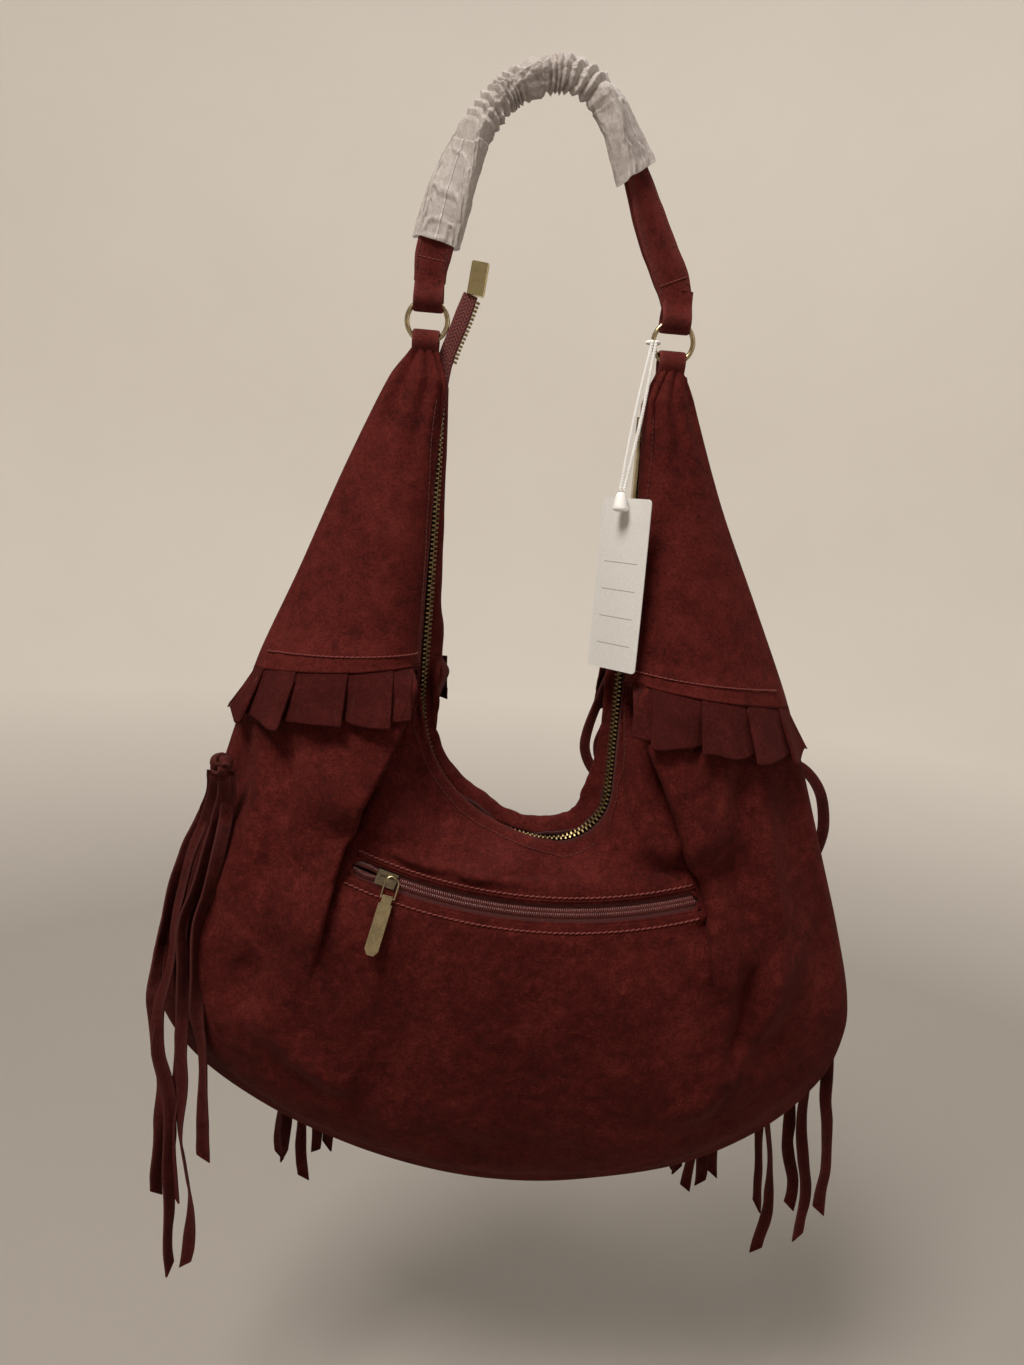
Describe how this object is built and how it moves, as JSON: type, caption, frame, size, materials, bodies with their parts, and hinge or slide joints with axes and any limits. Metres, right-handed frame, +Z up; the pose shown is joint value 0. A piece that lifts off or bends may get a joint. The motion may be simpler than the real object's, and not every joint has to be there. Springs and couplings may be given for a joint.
{
  "type": "hobo shoulder bag",
  "caption": "Crescent hobo bag in burgundy suede cloth: U-shaped main zip, zipped front pocket, pleated ruffles, lace tassels, ring-mounted handle.",
  "frame": {"origin": "the underside of the handle's crown, where a hook or shoulder carries the bag", "axes": "+Z up, +X to the right when the zipped pocket faces the viewer, -Y towards the viewer; the bag body is symmetric about X = 0"},
  "size_m": [0.4523, 0.129, 0.7571],
  "materials": {
    "suede": "brushed faux suede, burgundy",
    "suede_lace": "cut faux suede lace, burgundy",
    "lining_cloth": "woven polyester lining",
    "zip_tape": "woven herringbone zip tape",
    "zip_teeth_brass": "polished moulded brass teeth",
    "zip_coil_nylon": "dyed nylon coil",
    "antique_brass": "antique brass plating, light wear",
    "satin_brass": "satin brass",
    "sleeve_nonwoven": "thin white non-woven wrap",
    "card_white": "smooth white card",
    "cord_white": "twisted white cord",
    "toggle_white": "moulded white plastic"
  },
  "bodies": {
    "handle": {"handle_strap": "suede", "handle_sleeve": "sleeve_nonwoven"},
    "ring_left_body": {"ring_left": "antique_brass"},
    "ring_right_body": {"ring_right": "antique_brass"},
    "bag": {"tab_left": "suede", "tab_right": "suede", "panel_front": "suede", "yoke_front_left": "suede", "ruffle_front_left": "suede", "yoke_front_right": "suede", "ruffle_front_right": "suede", "lining_front": "lining_cloth", "main_zip_tape_front": "zip_tape", "main_zip_chain_front": "zip_teeth_brass", "panel_rear": "suede", "yoke_rear_left": "suede", "ruffle_rear_left": "suede", "yoke_rear_right": "suede", "ruffle_rear_right": "suede", "lining_rear": "lining_cloth", "main_zip_tape_rear": "zip_tape", "main_zip_chain_rear": "zip_teeth_brass", "pocket_bag": "lining_cloth", "pocket_tape_upper": "zip_tape", "pocket_tape_lower": "zip_tape", "pocket_coil_upper": "zip_coil_nylon", "pocket_coil_lower": "zip_coil_nylon"},
    "zip_tail": {"zip_tail_tape": "zip_tape", "zip_tail_chain": "zip_teeth_brass", "zip_end_cap": "satin_brass"},
    "main_slider_body": {"main_slider": "antique_brass"},
    "main_bail_body": {"main_bail": "antique_brass"},
    "main_pull_body": {"main_pull": "antique_brass"},
    "pocket_slider_body": {"pocket_slider": "antique_brass"},
    "pocket_bail_body": {"pocket_bail": "antique_brass"},
    "pocket_pull_body": {"pocket_pull": "antique_brass"},
    "tassel_outer_left": {"knot_outer_left": "suede", "laces_outer_left": "suede_lace"},
    "tassel_outer_right": {"knot_outer_right": "suede", "laces_outer_right": "suede_lace"},
    "tassel_inner_left": {"knot_inner_left": "suede", "laces_inner_left": "suede_lace"},
    "tassel_inner_right": {"knot_inner_right": "suede", "laces_inner_right": "suede_lace"},
    "hang_tag": {"tag_card": "card_white", "tag_cord": "cord_white", "tag_toggle": "toggle_white"}
  },
  "joints": [
    {"name": "left_ring_swing", "type": "hinge", "parent": "handle", "child": "ring_left_body", "pos_m": [-0.07, 0, -0.1156], "axis": [1, 0, 0], "range_deg": [-35, 35]},
    {"name": "right_ring_swing", "type": "hinge", "parent": "handle", "child": "ring_right_body", "pos_m": [0.07, 0, -0.1156], "axis": [1, 0, 0], "range_deg": [-35, 35]},
    {"name": "bag_swing", "type": "hinge", "parent": "ring_left_body", "child": "bag", "pos_m": [-0.07, 0, -0.1384], "axis": [1, 0, 0], "range_deg": [-4, 35]},
    {"name": "zip_tail_bend", "type": "hinge", "parent": "bag", "child": "zip_tail", "pos_m": [-0.0562, 0, -0.15], "axis": [1, 0, 0], "range_deg": [-60, 60], "stiffness_Nm_per_rad": 0.02},
    {"name": "main_slider_travel", "type": "slide", "parent": "bag", "child": "main_slider_body", "axis": [0, 0, -1], "range_m": [0, 0.18]},
    {"name": "main_bail_lift", "type": "hinge", "parent": "main_slider_body", "child": "main_bail_body", "pos_m": [0.056, 0, -0.174], "axis": [0, 1, 0], "range_deg": [0, 120]},
    {"name": "main_pull_lift", "type": "hinge", "parent": "main_bail_body", "child": "main_pull_body", "pos_m": [0.056, 0, -0.186], "axis": [0, 1, 0], "range_deg": [0, 45]},
    {"name": "pocket_slider_travel", "type": "hinge", "parent": "bag", "child": "pocket_slider_body", "pos_m": [0.02, 0.03312, -0.15411], "axis": [0, -0.9659, 0.2588], "range_deg": [-2.3, 32]},
    {"name": "pocket_bail_sway", "type": "hinge", "parent": "pocket_slider_body", "child": "pocket_bail_body", "pos_m": [-0.07003, -0.04618, -0.44159], "axis": [0, -0.9135, 0.4067], "range_deg": [-5, 45]},
    {"name": "pocket_pull_lift", "type": "hinge", "parent": "pocket_bail_body", "child": "pocket_pull_body", "pos_m": [-0.06846, -0.05032, -0.45088], "axis": [-0.9781, 0.0846, 0.1899], "range_deg": [0, 100]},
    {"name": "tassel_outer_left_sway", "type": "hinge", "parent": "bag", "child": "tassel_outer_left", "pos_m": [-0.169, -0.03325, -0.384], "axis": [0, 1, 0], "range_deg": [0, 25]},
    {"name": "tassel_outer_right_sway", "type": "hinge", "parent": "bag", "child": "tassel_outer_right", "pos_m": [0.172, 0.03795, -0.386], "axis": [1, 0, 0], "range_deg": [0, 40]},
    {"name": "tassel_inner_left_sway", "type": "hinge", "parent": "bag", "child": "tassel_inner_left", "pos_m": [-0.108, 0.05716, -0.362], "axis": [1, 0, 0], "range_deg": [0, 40]},
    {"name": "tassel_inner_right_sway", "type": "hinge", "parent": "bag", "child": "tassel_inner_right", "pos_m": [0.1, 0.0582, -0.362], "axis": [1, 0, 0], "range_deg": [0, 40]},
    {"name": "hang_tag_swing", "type": "hinge", "parent": "ring_right_body", "child": "hang_tag", "pos_m": [0.0586, 0, -0.128], "axis": [-1, 0, 0], "range_deg": [0, 45]}
  ],
  "couplings": [
    {"joint": "right_ring_swing", "follows": "left_ring_swing", "ratio": 1}
  ]
}
